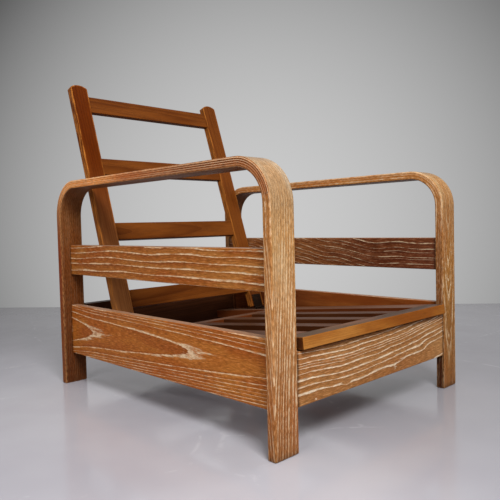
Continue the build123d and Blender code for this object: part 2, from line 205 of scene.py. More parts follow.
def logRings(place, look):
    # the log's rings, pushed about a little so that they run like grown wood
    drift = noise(place, look["wobblePace"], 2.0, 0.45, output="Color")
    drift = vectorCalc("SUBTRACT", drift, (0.5, 0.5, 0.5))
    drift = vectorCalc("MULTIPLY", drift, (0.0, 2 * look["wobble"][0], 2 * look["wobble"][1]))
    grown = vectorCalc("ADD", place, drift)
    axes = axesOf(grown)
    along = calc("SMOOTH_MIN", axes[0], look["straightFrom"], oakGrain["smoothTurn"])
    across = calc("MULTIPLY_ADD", along, -look["tilt"][0], axes[1])
    across = calc("SUBTRACT", across, look["pith"][0])
    through = calc("MULTIPLY_ADD", along, -look["tilt"][1], axes[2])
    through = calc("SUBTRACT", through, look["pith"][1])
    if look["sag"]:
        sag = look["sag"]
        drop = times(along, calc("MULTIPLY_ADD", along, sag["curve"], sag["slope"]))
        drop = times(drop, ease(axes[1], *sag["between"], *sag["shares"], "LINEAR"))
        across = calc("SUBTRACT", across, drop)
    for x, y, length, width, height in look["swells"]:
        away = vectorCalc("SUBTRACT", grown, (x, y, 0.0))
        away = vectorCalc("MULTIPLY", away, (1 / length, 1 / width, 0.0))
        away = vectorCalc("LENGTH", away)
        through = calc("ADD", through, ease(away, 0.0, 1.0, height, 0.0))
    radius = calc("SQRT", calc("ADD", times(across, across), times(through, through)))
    if "ringStarts" in look:
        return countedRings(radius, look["ringStarts"])
    rings = calc("DIVIDE", radius, look["ringSpacing"])
    inputs = {"W": times(rings, oakGrain["unevenPace"]), "Scale": 1.0, "Detail": 0.0}
    uneven = addNode("TexNoise", inputs, noise_dimensions="1D").outputs[0]
    return calc("MULTIPLY_ADD", uneven, look["unevenRings"], rings)


# How a bent band has aged, with light and shade painted into the same tints: its outer face, two edges and
# inner face each in their own way

bandPlies = {
    "thickness": 0.0044,
    "edgeTurn": (0.0297, 0.0312),  # from the band's middle line, where a face turns into an edge
    "insideTurn": (-0.0188, -0.0204),  # from its outer face, where an edge turns into the inner face
    "blurPace": (3.0, 40.0, 40.0), "blur": 0.5,
    # a ply runs from 0 to 1: its glue line at the start, and the lime caught further on
    "glueRise": (0.0, 0.05), "glueFall": (0.14, 0.38, 1.0, 0.0),
    "glueStrength": (0.4, 0.6, 0.3, 0.85), "glueColor": tone(44, 24, 14), "limeRise": (0.48, 0.62),
    "limeFall": (0.74, 0.9, 1.0, 0.0), "limeStrength": (0.36, 0.6, 0.5, 1.6),
    # and along the band
    "plyStart": 0.004,  # before the joint
    "fade": (0.64, 0.86, 1.0, 0.45), "jointLine": (0.0004, 0.0014, 1.0, 0.0),
}


def shadesAlong(length, stops):
    # tint and share of lime along a band, from its front foot to its rear foot; the tints hold painted light
    # and shade as well as age
    reach = stops[-1][0]
    ramp = addNode("ValToRGB", {0: calc("DIVIDE", length, reach)})
    elements = ramp.color_ramp.elements
    elements[0].position, elements[1].position = 0.0, 1.0
    elements[0].color, elements[1].color = stops[0][1:], stops[-1][1:]
    for at, *shade in stops[1:-1]:
        elements.new(at / reach).color = shade
    return ramp.outputs["Color"], ramp.outputs["Alpha"]


def paintBandAgeAndLight(place, wood, filled, shades):
    length, across, depth = axesOf(place)
    turnStart, turnEnd = bandPlies["edgeTurn"]
    turns = {
        "outerEdge": ease(across, turnStart, turnEnd),
        "innerEdge": ease(across, -turnStart, -turnEnd),
        "inside": ease(depth, *bandPlies["insideTurn"]),
    }
    tint, limeLeft = shadesAlong(length, shades["face"])
    for part, there in turns.items():
        partTint, partLime = shadesAlong(length, shades[part])
        tint = blendColor(there, tint, partTint)
        limeLeft = calc("MULTIPLY_ADD", there, calc("SUBTRACT", partLime, limeLeft), limeLeft)
    wood = blendColor(1.0, wood, tint, "MULTIPLY")
    filled = times(filled, limeLeft)
    # glue lines between the plies show on the edges, past the joint of the front leg and the bend
    onEdges = calc("MAXIMUM", turns["outerEdge"], turns["innerEdge"])
    blur = noise(place, bandPlies["blurPace"], 3.0, 0.6)
    ply = calc("DIVIDE", depth, bandPlies["thickness"])
    ply = calc("FRACT", calc("MULTIPLY_ADD", blur, bandPlies["blur"], ply))
    pastJoint = ease(length, shades["joint"] - bandPlies["plyStart"], shades["joint"])
    pastJoint = times(pastJoint, ease(length, *bandPlies["fade"]))
    glue = times(ease(ply, *bandPlies["glueFall"]), ease(ply, *bandPlies["glueRise"]), pastJoint)
    fromJoint = calc("ABSOLUTE", calc("SUBTRACT", length, shades["joint"]))
    glue = calc("MAXIMUM", glue, ease(fromJoint, *bandPlies["jointLine"]))
    glue = times(glue, onEdges, ease(blur, *bandPlies["glueStrength"]))
    # and lime has caught in the plies between them
    caught = times(ease(ply, *bandPlies["limeRise"]), ease(ply, *bandPlies["limeFall"]))
    caught = times(caught, limeLeft, ease(blur, *bandPlies["limeStrength"]))
    onPlies = times(onEdges, pastJoint)
    filled = calc("MULTIPLY_ADD", onPlies, calc("SUBTRACT", caught, filled), filled)
    return blendColor(glue, wood, bandPlies["glueColor"]), filled


def poresOf(place, raggedPhase, poreBand):
    # pores crowd where a ring starts, and thin out towards its end
    least, most = oakGrain["bandShares"]
    bandEnd = noise(place, oakGrain["bandPace"], 2.0)
    bandEnd = ease(bandEnd, *oakGrain["bandWidths"], poreBand * least, poreBand * most)
    band = ease(raggedPhase, bandEnd, times(bandEnd, oakGrain["bandFull"]))
    band = times(band, ease(raggedPhase, *oakGrain["ringStart"]))
    band = calc("MAXIMUM", band, ease(raggedPhase, *oakGrain["nextStart"]))
    openPores = ease(noise(place, oakGrain["porePace"], 2.0, 0.6), *oakGrain["openPores"])
    return band, openPores


def oakFinish(name, look, carried=False):
    material = startTree(bpy.data.materials.new(name))
    if carried:  # a node of the frame, which has no grainSpace
        place = addNode("TexCoord").outputs["Object"]
    else:
        place = addNode("Attribute", attribute_name="grainSpace").outputs["Vector"]
    worn = addNode("Attribute", attribute_name="edgeWear").outputs["Fac"]
    along = axesOf(place)[0]
    phase = calc("FRACT", logRings(place, look))
    ragged = noise(place, look["raggedPace"], 4.0, 0.66)
    raggedPhase = calc("MULTIPLY_ADD", calc("SUBTRACT", ragged, 0.5), look["ragged"], phase)
    poreBand, openPores = poresOf(place, raggedPhase, look["poreBand"])
    pores = times(poreBand, openPores)
    fibres = noise(place, oakGrain["fibrePace"], 3.0, 0.6)
    patches = noise(place, oakGrain["patchPace"], 2.0)
    stains = noise(place, oakGrain["stainPace"], 3.0, 0.55, 0.4)
    # brown of the wood between the pores
    wood = blendColor(ease(phase, *oakGrain["deepening"]), look["brown"], look["deepBrown"])
    wood = blendColor(ease(patches, *oakGrain["palePatches"]), wood, look["paleBrown"])
    wood = blendColor(ease(stains, *oakGrain["stains"]), wood, look["stain"])
    wood = blendColor(ease(raggedPhase, *oakGrain["lateWood"]), wood, look["deepBrown"])
    wood = blendColor(ease(fibres, *oakGrain["darkFibres"]), wood, look["deepBrown"])
    darkest, palest = 1.0 - look["flecks"], 1.0 + look["flecks"] * oakGrain["paleFlecks"]
    flecks = ease(ragged, *oakGrain["fleckLevels"], darkest, palest)
    wood = blendColor(1.0, wood, flecks, "MULTIPLY")
    wood = blendColor(times(pores, look["darkPores"]), wood, oakGrain["poreColor"])
    # lime left in the pores
    dashes = noise(place, oakGrain["dashPace"], 3.0, 0.6)
    dashes = ease(dashes, *oakGrain["dashLevels"], look["dashes"], 1.0)
    filled = times(poreBand, ease(openPores, *oakGrain["limeInPores"]), dashes, look["lime"])
    stray = times(ease(ragged, *oakGrain["strayLevels"]), look["strayLime"])
    filled = calc("MAXIMUM", filled, stray)
    if "shades" in look:
        wood, filled = paintBandAgeAndLight(place, wood, filled, look["shades"])
    if "tintAlong" in look:  # tinted along the grain: from, to, tint
        start, end, tint = look["tintAlong"]
        wood = blendColor(ease(along, start, end), wood, tint, "MULTIPLY")
    if "halfLength" in look:  # dirt in the corner where the board meets its neighbours, together with painted shade in the gap there
        dirtAndShadeStart, dirtAndShadeEnd = (look["halfLength"] - reach for reach in oakGrain["dirtAndShadeReach"])
        dirtAndShade = ease(calc("ABSOLUTE", along), dirtAndShadeStart, dirtAndShadeEnd)
        dirtAndShade = times(dirtAndShade, dirtAndShade, ease(patches, *oakGrain["dirtAndShadePatches"]))
        wood = blendColor(dirtAndShade, wood, oakGrain["dirtAndShadeColor"])
        filled = times(filled, calc("SUBTRACT", 1.0, dirtAndShade))
    rubbed = times(worn, ease(ragged, *oakGrain["rubbedLevels"]), look["wear"])
    color = blendColor(rubbed, wood, look["rubbed"])
    color = blendColor(filled, color, look["limeColor"])
    # dust and dried wax lie on the faces that look up, mixed with a painted grey sheen
    upward = axesOf(addNode("TexCoord").outputs["Normal"])[2]
    dustAndSheenShare = times(ease(upward, *oakGrain["dustAndSheenSlope"]), ease(patches, *oakGrain["dustAndSheenPatches"]))
    color = blendColor(times(dustAndSheenShare, look["dust"]), color, look["dustAndSheenColor"])
    least, most = (look["roughness"] + spread for spread in oakGrain["sheenSpread"])
    sheen = ease(patches, *oakGrain["sheenLevels"], least, most)
    sheen = calc("MULTIPLY_ADD", filled, oakGrain["limeRoughness"], sheen)
    poreRelief, fibreRelief = oakGrain["relief"]
    relief = calc("MULTIPLY_ADD", pores, poreRelief, times(fibres, fibreRelief))
    bump = bumpOf(relief, *oakGrain["bump"])
    surface(color, sheen, **{"Normal": bump, "Specular IOR Level": look["gloss"]})
    return material


# Boards: an outline cut from a plank, edges eased, with a narrow margin for the wear

boardEdges = {
    "steps": 4,  # in an eased edge
    "leastTurn": 25.0,  # edges that turn by more degrees are eased
    "sharpTurn": 40.0,  # and those that turn by more than this are shaded sharp
    "wearMargin": 0.003,  # how far the wear reaches onto a flat
    "leastFlat": 40.0,  # a flat is larger than so many squares of that margin
    # how closely something has to follow a direction, where 1 is exactly
    "flat": 0.9999, "alongAxis": 0.9, "lookingThere": 0.6,
    "endSlack": 1e-5,
}


def shadeBoard(bm):
    for face in bm.faces:
        face.smooth = True
    for edge in bm.edges:
        edge.smooth = len(edge.link_faces) == 2 and edge.calc_face_angle(0) < radians(boardEdges["sharpTurn"])


def addObject(name, bm, finishes):
    mesh = bpy.data.meshes.new(name)
    bm.to_mesh(mesh)
    bm.free()
    for finish in finishes:
        mesh.materials.append(finish)
    made = bpy.data.objects.new(name, mesh)
    bpy.context.scene.collection.objects.link(made)
    return made


def makePiece(node, bm, finishes, body, name=None):
    # the piece takes its node's name, unless it has one of its own
    first, *others = node.split("_")
    piece = addObject(name or first + "".join(word.capitalize() for word in others), bm, finishes)
    normals = piece.modifiers.new("evenNormals", "WEIGHTED_NORMAL")
    normals.keep_sharp = True
    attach(piece, body)
    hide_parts(node)


def useSecondFinish(bm, *directions):
    # on the faces that look in one of these directions
    least = boardEdges["lookingThere"]
    for face in bm.faces:
        face.material_index = int(any(face.normal.dot(Vector(way)) > least for way in directions))


def bevelFoot(bm, thickness, rise, depth):
    # takes the rear edge off a stile's foot
    whole = bm.verts[:] + bm.edges[:] + bm.faces[:]
    edge, outward = (rise, 0, -thickness / 2), (-depth, 0, -rise)
    cut = bmesh.ops.bisect_plane(bm, geom=whole, plane_co=edge, plane_no=outward, clear_outer=True)
    rim = [part for part in cut["geom_cut"] if isinstance(part, bmesh.types.BMEdge)]
    bmesh.ops.contextual_create(bm, geom=rim)
    bmesh.ops.recalc_face_normals(bm, faces=bm.faces)


def cutBoard(outline, thickness, easedBy, place, logPlace, easeEnds=True, footBevel=None, wornAndLitSides=False):
    bm = bmesh.new()
    wear = bm.verts.layers.float.new("edgeWear")
    grain = bm.verts.layers.float_vector.new("grainSpace")
    near = [bm.verts.new((x, y, thickness / 2)) for x, y in outline]
    far = [bm.verts.new((x, y, -thickness / 2)) for x, y in outline]
    bm.faces.new(near)
    bm.faces.new(list(reversed(far)))
    for i in range(len(outline)):
        bm.faces.new((near[i - 1], far[i - 1], far[i], near[i]))
    bmesh.ops.recalc_face_normals(bm, faces=bm.faces)
    if footBevel:
        bevelFoot(bm, thickness, *footBevel)
    corners, alongAxis = [], boardEdges["alongAxis"]
    for edge in bm.edges:
        turned = edge.calc_face_angle(0) >= radians(boardEdges["leastTurn"])
        alongBoard = abs((edge.verts[0].co - edge.verts[1].co).normalized().x) > alongAxis
        if turned and (easeEnds or alongBoard):
            corners.append(edge)
    bmesh.ops.bevel(
        bm, geom=corners, offset=easedBy, segments=boardEdges["steps"], profile=0.5, affect="EDGES",
        clamp_overlap=True,
    )
    bm.normal_update()
    margin = boardEdges["wearMargin"]
    leastArea = boardEdges["leastFlat"] * margin ** 2
    flats = []
    for face in bm.faces:
        if max(abs(part) for part in face.normal) > boardEdges["flat"] and face.calc_area() > leastArea:
            flats.append(face)
    bmesh.ops.inset_individual(bm, faces=flats, thickness=margin, use_even_offset=True)
    if wornAndLitSides:  # both narrow sides are worn all over, and the lighter colour this gives them is in part painted light
        flats = [face for face in flats if abs(face.normal.y) < alongAxis]
    unworn = {vert for face in flats for vert in face.verts}
    ends = (min(x for x, y in outline), max(x for x, y in outline))
    for vert in bm.verts:
        atEnd = min(abs(vert.co.x - end) for end in ends) < boardEdges["endSlack"]
        vert[wear] = 0.0 if vert in unworn or (atEnd and not easeEnds) else 1.0
        vert[grain] = vert.co + Vector(logPlace)
    bm.transform(place)
    bm.normal_update()
    shadeBoard(bm)
    return bm


def rectangle(length, width):
    x, y = length / 2, width / 2
    return [(-x, -y), (x, -y), (x, y), (-x, y)]


def standing(middle, along, across):
    along, across = Vector(along).normalized(), Vector(across).normalized()
    through = along.cross(across)
    place = Matrix((along, across, through)).transposed().to_4x4()
    place.translation = Vector(middle)
    return place


def inLog(start, pitch, step):
    # where a board of a set lies in the log, so that no two of them look alike
    return [first + more * step for first, more in zip(start, pitch)]


def middleAndSize(node):
    low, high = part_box(node)
    return (low + high) / 2, high - low


# Arm bows

armBow = {
    "bandThickness": 0.0208, "frontBend": 0.092, "rearBend": 0.096, "easedBy": 0.003,
    "edgeSteps": 4, "wearMargin": 0.0032, "footRound": 0.003, "footSteps": 4,
    "footRows": (0.012, 0.05),  # heights of the rows above the rounded foot
    "legSteps": 4, "bendSteps": 28, "armSteps": 5,
    "leftLook": {
        **limedOak,
        "ringSpacing": 0.0044, "pith": (-0.055, -0.09), "tilt": (-0.07, 0.004),
        "straightFrom": 0.42, "wobble": (0.004, 0.003), "wobblePace": (4.0, 12.0, 12.0),
        "poreBand": 0.36, "ragged": 0.6, "raggedPace": (100.0, 440.0, 440.0), "lime": 0.9,
        "strayLime": 0.35, "dashes": 0.15,
        **browns((183, 137, 84), (163, 114, 62), (199, 158, 108), (180, 120, 62)),
        # the tints hold painted light and shade besides dirt and age: a painted highlight on the front bend,
        # painted light on the rear bend's outer edge, painted shade on the inner face, the inner edges and
        # down the rear leg; the feet are darker with dirt
        "shades": {  # length from the front foot, tint in red, green and blue, share of lime
            "joint": 0.486,
            "face": (
                (0.0, 0.34, 0.24, 0.18, 0.2), (0.014, 0.65, 0.45, 0.32, 0.45),
                (0.08, 0.76, 0.53, 0.39, 0.8), (0.28, 0.94, 0.81, 0.72, 0.95),
                (0.41, 1.06, 1.18, 1.38, 0.6), (0.5, 0.79, 1.02, 1.65, 0.16), (0.6, 0.79, 0.9, 1.25, 0.35),
                (1.2, 0.76, 0.66, 0.56, 0.6), (1.4, 0.66, 0.52, 0.4, 0.5), (1.83, 0.56, 0.42, 0.3, 0.5),
            ),
            "outerEdge": (
                (0.0, 0.3, 0.2, 0.14, 0.2), (0.014, 0.58, 0.37, 0.22, 0.45),
                (0.1, 0.73, 0.46, 0.29, 0.6), (0.25, 0.99, 0.85, 0.79, 0.7),
                (0.47, 0.78, 0.6, 0.42, 0.6), (0.492, 0.6, 0.32, 0.18, 0.35), (0.75, 0.5, 0.24, 0.12, 0.3),
                (0.98, 0.87, 0.41, 0.14, 0.45), (1.12, 1.55, 0.98, 0.47, 0.6), (1.27, 1.55, 1.0, 0.5, 0.6),
                (1.36, 0.64, 0.38, 0.24, 0.2), (1.46, 0.5, 0.165, 0.02, 0.0),
                (1.83, 0.47, 0.235, 0.052, 0.02),
            ),
            "innerEdge": (
                (0.0, 0.4, 0.26, 0.17, 0.5), (0.5, 0.5, 0.32, 0.2, 0.4), (1.83, 0.3, 0.15, 0.07, 0.2),
            ),
            "inside": (
                (0.0, 0.3, 0.17, 0.1, 0.4), (0.6, 0.33, 0.18, 0.095, 0.15), (1.3, 0.38, 0.24, 0.17, 0.08),
                (1.83, 0.2, 0.115, 0.085, 0.04),
            ),
        },
    },
}
armBow["rightLook"] = {
    **armBow["leftLook"],
    "pith": (-0.003, -0.052), "tilt": (0.0, 0.045), "straightFrom": 0.45, "wobble": (0.002, 0.0006),
    "ringStarts": (  # radii at which the rings of this log start
        0.008, 0.0115, 0.015, 0.019, 0.023, 0.027, 0.0305, 0.0331, 0.03715, 0.0394, 0.04075, 0.0459,
        0.0471, 0.0535, 0.0565, 0.0605, 0.065,
    ),
    "poreBand": 0.3,
    "shades": {
        **armBow["leftLook"]["shades"],
        "joint": 9.0,  # past the band's end, as its joint and plies are too fine to see
        # painted light and shade here too: a painted highlight over the front bend, and an inner edge darkest
        # near the foot, from dirt and painted shade
        "face": (
            (0.0, 0.26, 0.18, 0.11, 0.15), (0.014, 0.58, 0.42, 0.26, 0.2),
            (0.1, 0.67, 0.52, 0.32, 0.45), (0.2, 0.69, 0.52, 0.25, 1.0),
            (0.35, 0.78, 0.58, 0.3, 0.6), (0.5, 0.87, 0.92, 1.02, 0.35), (0.6, 0.86, 0.89, 0.97, 0.4),
            (1.4, 0.66, 0.52, 0.4, 0.5), (1.83, 0.56, 0.42, 0.3, 0.5),
        ),
        "innerEdge": (
            (0.0, 0.12, 0.065, 0.045, 0.2), (0.13, 0.13, 0.07, 0.05, 0.25), (0.24, 0.4, 0.26, 0.18, 0.45),
            (0.36, 0.48, 0.34, 0.25, 0.45), (0.55, 0.84, 0.62, 0.42, 0.7), (1.2, 0.88, 0.66, 0.44, 0.6),
            (1.83, 0.4, 0.22, 0.12, 0.3),
        ),
    },
}


def bandSection(width):
    # points round the band's section: across, depth from its outer face, wear
    radius, margin, thickness = armBow["easedBy"], armBow["wearMargin"], armBow["bandThickness"]
    side, deep = width / 2 - radius, radius - thickness
    points = []
    for cx, cy, start in ((side, -radius, 0), (-side, -radius, 90), (-side, deep, 180), (side, deep, 270)):
        corner = []
        for step in range(armBow["edgeSteps"] + 1):
            angle = radians(start + 90 * step / armBow["edgeSteps"])
            corner.append((cx + radius * cos(angle), cy + radius * sin(angle), 1.0))
        first, last = corner[0], corner[-1]
        if start in (0, 180):
            way = -1 if start == 0 else 1
            before = (first[0], first[1] + way * margin, 0.0)
            after = (last[0] + way * margin, last[1], 0.0)
        else:
            way = 1 if start == 90 else -1
            before = (first[0] + way * margin, first[1], 0.0)
            after = (last[0], last[1] - way * margin, 0.0)
        points += [before] + corner + [after]
    return points


# A row across the band has its point on the outer face, its outward direction, its length along the
# grain, and how far the foot's rounding draws it in.

def straightRows(start, end, out, steps, run):
    reach = abs(end[0] - start[0]) + abs(end[1] - start[1])  # each one runs level or upright
    rows = []
    for step in range(1, steps + 1):
        share = step / steps
        point = (start[0] + (end[0] - start[0]) * share, start[1] + (end[1] - start[1]) * share)
        rows.append((point, out, run + reach * share, 0.0))
    return rows


def bendRows(centre, radius, start, run):
    rows = []
    for step in range(1, armBow["bendSteps"] + 1):
        turn = pi / 2 * step / armBow["bendSteps"]
        out = (cos(start - turn), sin(start - turn))
        point = (centre[0] + radius * out[0], centre[1] + radius * out[1])
        rows.append((point, out, run + (radius - armBow["bandThickness"] / 2) * turn, 0.0))
    return rows


def footRows():
    # heights and insets, from the floor up
    rows = []
    for step in range(armBow["footSteps"] + 1):
        turn = pi / 2 * step / armBow["footSteps"]
        rows.append((armBow["footRound"] * (1 - cos(turn)), armBow["footRound"] * (1 - sin(turn))))
    return rows + [(height, 0.0) for height in armBow["footRows"]]


def bandRows(frontY, rearY, top):
    frontBend, rearBend, legSteps = armBow["frontBend"], armBow["rearBend"], armBow["legSteps"]
    halfThick = armBow["bandThickness"] / 2
    foot = footRows()
    legStart = foot[-1][0]
    rows = [((frontY, height), (-1, 0), height, inset) for height, inset in foot]
    rows += straightRows((frontY, legStart), (frontY, top - frontBend), (-1, 0), legSteps, legStart)
    run = top - frontBend
    rows += bendRows((frontY + frontBend, top - frontBend), frontBend, pi, run)
    run += (frontBend - halfThick) * pi / 2
    armStart, armEnd = frontY + frontBend, rearY - rearBend
    rows += straightRows((armStart, top), (armEnd, top), (0, 1), armBow["armSteps"], run)
    run += armEnd - armStart
    rows += bendRows((armEnd, top - rearBend), rearBend, pi / 2, run)
    run += (rearBend - halfThick) * pi / 2
    rows += straightRows((rearY, top - rearBend), (rearY, legStart), (1, 0), legSteps, run)
    run += top - rearBend  # the band's whole length
    return rows + [((rearY, height), (1, 0), run - height, inset) for height, inset in foot[-2::-1]]


def bendBow(node, sign):
    low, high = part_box(node)
    middle, size = middleAndSize(node)
    halfWide, halfThick = size.x / 2, armBow["bandThickness"] / 2
    section = bandSection(size.x)
    bm = bmesh.new()
    wear = bm.verts.layers.float.new("edgeWear")
    grain = bm.verts.layers.float_vector.new("grainSpace")
    rings = []
    for (y, z), (outY, outZ), length, inset in bandRows(low.y, high.y, high.z):
        ring = []
        for across, depth, worn in section:
            across *= 1 - inset / halfWide
            depth = (depth + halfThick) * (1 - inset / halfThick) - halfThick
            vert = bm.verts.new((middle.x + across, y + outY * depth, z + outZ * depth))
            vert[wear] = max(worn, 1.0 if inset else 0.0)
            vert[grain] = (length, across * sign, depth)
            ring.append(vert)
        rings.append(ring)
    for first, second in zip(rings, rings[1:]):
        for i in range(len(section)):
            bm.faces.new((first[i - 1], first[i], second[i], second[i - 1]))
    bm.faces.new(rings[0])
    bm.faces.new(list(reversed(rings[-1])))
    bmesh.ops.recalc_face_normals(bm, faces=bm.faces)
    shadeBoard(bm)
    return bm


sides = {"left": -1, "right": 1}
for side, sign in sides.items():
    finish = oakFinish("limedOakArmBow" + side.capitalize(), armBow[side + "Look"])
    node = "arm_bow_" + side
    makePiece(node, bendBow(node, sign), [finish], "carcass")
print("arm bows bent")

# Side rails

midRail = {
    "easedBy": 0.002,
    "look": {
        **limedOak,
        "ringSpacing": 0.0044, "pith": (-0.25, -0.85), "tilt": (-0.006, 0.0),
        "wobble": (0.004, 0.004), "wobblePace": (3.0, 9.0, 9.0), "unevenRings": 0.5,
        "poreBand": 0.17, "ragged": 0.4, "strayLime": 0.18,
        **browns((165, 97, 37), (136, 69, 20), (178, 119, 57), (148, 69, 15)),
    },
    "innerLook": {
        **limedOak,
        "pith": (-0.2, -0.078), "tilt": (-0.19, 0.0), "straightFrom": 0.2, "wobble": (0.012, 0.012),
        "wobblePace": (6.0, 9.0, 9.0),
        "ringStarts": (
            0.085, 0.095, 0.106, 0.113, 0.125, 0.134, 0.147, 0.158, 0.17, 0.185, 0.197, 0.2035, 0.216,
            0.2245, 0.2375, 0.2495, 0.254, 0.268, 0.2765, 0.29, 0.31,
        ),
        "poreBand": 0.13, "ragged": 0.24, "lime": 0.68, "strayLime": 0.12, "dashes": 0.1,
        **browns((133, 78, 37), (106, 57, 27), (157, 103, 59), (112, 58, 30)),
        # painted shade: darker towards the front
        "tintAlong": (-0.1, 0.2, (0.6, 0.5, 0.6, 1.0)),
    },
}
lowerRail = {
    "easedBy": 0.002,
    "look": {
        **limedOak,
        "pith": (0.0065, -0.150), "tilt": (0.018, -0.0115), "wobble": (0.0016, 0.0004),
        "swells": ((-0.5, 0.0065, 0.25, 0.4, -0.0042),),
        "ringStarts": (
            0.118, 0.1235, 0.1285, 0.133, 0.138, 0.1425, 0.14665, 0.1515, 0.1556, 0.1581, 0.1602, 0.1626,
            0.1648, 0.1675, 0.1702, 0.1745, 0.1785, 0.183, 0.1875, 0.193, 0.198,
        ),
        "poreBand": 0.17, "ragged": 0.34, "strayLime": 0.14,
        **browns((171, 97, 34), (150, 77, 22), (185, 117, 48), (160, 79, 20)),
    },
    "innerLook": {
        **brownOak,
        **browns((132, 70, 29), (108, 53, 18), (150, 86, 38), (116, 53, 20)),
        # painted shade: darker towards the rear
        "tintAlong": (0.1, -0.2, (0.55, 0.5, 0.7, 1.0)),
    },
}
for kind, rail in (("mid", midRail), ("lower", lowerRail)):
    dirtAndShade = {"halfLength": middleAndSize(kind + "_rail_left")[1].y / 2}
    outerOak = oakFinish("limedOak" + kind.capitalize() + "Rails", {**rail["look"], **dirtAndShade})
    innerOak = oakFinish("innerFaceOf" + kind.capitalize() + "Rails", {**rail["innerLook"], **dirtAndShade})
    for side, sign in sides.items():
        node = kind + "_rail_" + side
        middle, size = middleAndSize(node)
        place = standing(middle, (0, -1, 0), (0, 0, 1))  # grain runs to the front, board faces the left
        logPlace = (0.0, 0.0, sign * size.x / 2)
        board = cutBoard(rectangle(size.y, size.z), size.x, rail["easedBy"], place, logPlace, easeEnds=False)
        useSecondFinish(board, (-sign, 0, 0))
        makePiece(node, board, [outerOak, innerOak], "carcass")
print("side rails set")

# Front and rear rails

frontRail = {
    "easedBy": 0.002, "slot": "limed_oak", "finish": "limedOakFrontRail",
    "look": {
        **limedOak,
        "pith": (-0.0575, -0.045), "tilt": (0.0, 0.0),
        "sag": {
            "slope": 0.06, "curve": 0.27,
            "between": (-0.055, 0.055),  # two places across the board
            "shares": (1.0, 0.75),  # and how much of the sag there is at each
        },
        "swells": (
            (-0.235, -0.056, 0.05, 0.03, 0.004), (-0.228, -0.047, 0.022, 0.011, 0.003),
            (-0.13, -0.033, 0.018, 0.008, 0.006), (0.065, -0.052, 0.07, 0.035, 0.005),
            (0.055, -0.043, 0.02, 0.01, 0.0011), (0.165, -0.015, 0.06, 0.03, 0.004),
        ),
        "wobble": (0.004, 0.004), "wobblePace": (9.0, 16.0, 16.0),
        "ringStarts": (
            0.02, 0.03, 0.04, 0.0505, 0.0585, 0.0665, 0.077, 0.0853, 0.0903, 0.0944, 0.1033, 0.1124,
            0.1205, 0.129, 0.138, 0.147, 0.157,
        ),
        "poreBand": 0.24, "ragged": 0.35, "lime": 1.0, "strayLime": 0.2, "dashes": 0.55,
        **browns((172, 117, 62), (150, 95, 47), (188, 137, 84), (160, 99, 49)),
        "limeColor": tone(244, 224, 194),
    },
}
rearRail = {
    "easedBy": 0.002, "slot": "brown_oak", "finish": "brownOakRearRail",
    "look": {
        **brownOak,
        # all but its rear face are painted very dark: painted shade for the inside of the chair
        **browns((54, 28, 15), (42, 21, 11), (70, 38, 20), (56, 28, 14)),
        "dust": 0.15,
    },
}
rearFaceLook = {**brownOak, **browns((112, 58, 22), (90, 44, 14), (132, 76, 32), (122, 66, 25))}
rearFaceOak = oakFinish("brownOakRearFaces", rearFaceLook)  # for what looks to the rear on both rails
for name, rail in (("front", frontRail), ("rear", rearRail)):
    node = name + "_rail"
    middle, size = middleAndSize(node)
    place = standing(middle, (1, 0, 0), (0, 0, 1))  # board faces the front
    logPlace = (0.0, 0.0, -size.y / 2)
    board = cutBoard(rectangle(size.x, size.z), size.y, rail["easedBy"], place, logPlace, easeEnds=False)
    useSecondFinish(board, (0, 1, 0))
    finish = oakFinish(rail["finish"], {**rail["look"], "halfLength": size.x / 2})
    makePiece(node, board, [finish, rearFaceOak], "carcass")
print("cross rails set")

# Seat frame, on its sloping plane

seatFrame = {
    "slope": 5.7,
    "frontEdge": (-0.4404218, 0.2196),  # upper front edge of the front board, y and z
    "boardThickness": 0.0238, "frontBoardWidth": 0.046, "sideMemberWidth": 0.0705,
    "memberEnd": 0.79865, "crossMemberStart": 0.50817, "crossMemberWidth": 0.045,
    "slatWidth": 0.044, "slatThickness": 0.015, "slatPitch": 0.110, "easedBy": 0.0015,
    "frontInLog": (0.3, 0.01, 0.02), "crossInLog": (1.7, -0.02, 0.0),
    "sidesInLog": ((3.1, 0.0, 0.01), (1.0, 0.02, 0.0)),
    "slatsInLog": ((5.0, 0.0, 0.0), (0.7, 0.013, -0.01)),
    "look": {**brownOak, **browns((94, 44, 17), (76, 34, 12), (110, 56, 24), (100, 48, 19))},
}
seatFrame["frontLook"] = {
    **seatFrame["look"],
    **browns((175, 112, 48), (144, 86, 33), (193, 134, 66), (142, 79, 28)),
    # its upward faces go a dark grey, and it grows darker towards its right end
    "dust": 0.85, "dustAndSheenColor": tone(56, 54, 50), "tintAlong": (0.05, 0.34, (0.8, 0.68, 0.5, 1.0)),
}
seatFrame["slatLook"] = {
    **seatFrame["look"],
    "pith": (0.02, -0.06), "ringSpacing": 0.003,
    **browns((76, 39, 17), (60, 29, 11), (91, 51, 26), (65, 31, 13)),
    "dust": 0.17,
}
slope = radians(seatFrame["slope"])
alongSeat = Vector((0, cos(slope), -sin(slope)))
upFromSeat = Vector((0, sin(slope), cos(slope)))
seatStart = Vector((0, *seatFrame["frontEdge"]))


def seatBoard(size, x, run, logPlace, crosswise=False, easeEnds=False):
    length, width, thickness = size
    middle = seatStart + Vector((x, 0, 0)) + alongSeat * run - upFromSeat * thickness / 2
    ways = ((1, 0, 0), alongSeat) if crosswise else (alongSeat, (-1, 0, 0))
    place = standing(middle, *ways)
    return cutBoard(rectangle(length, width), thickness, seatFrame["easedBy"], place, logPlace, easeEnds)


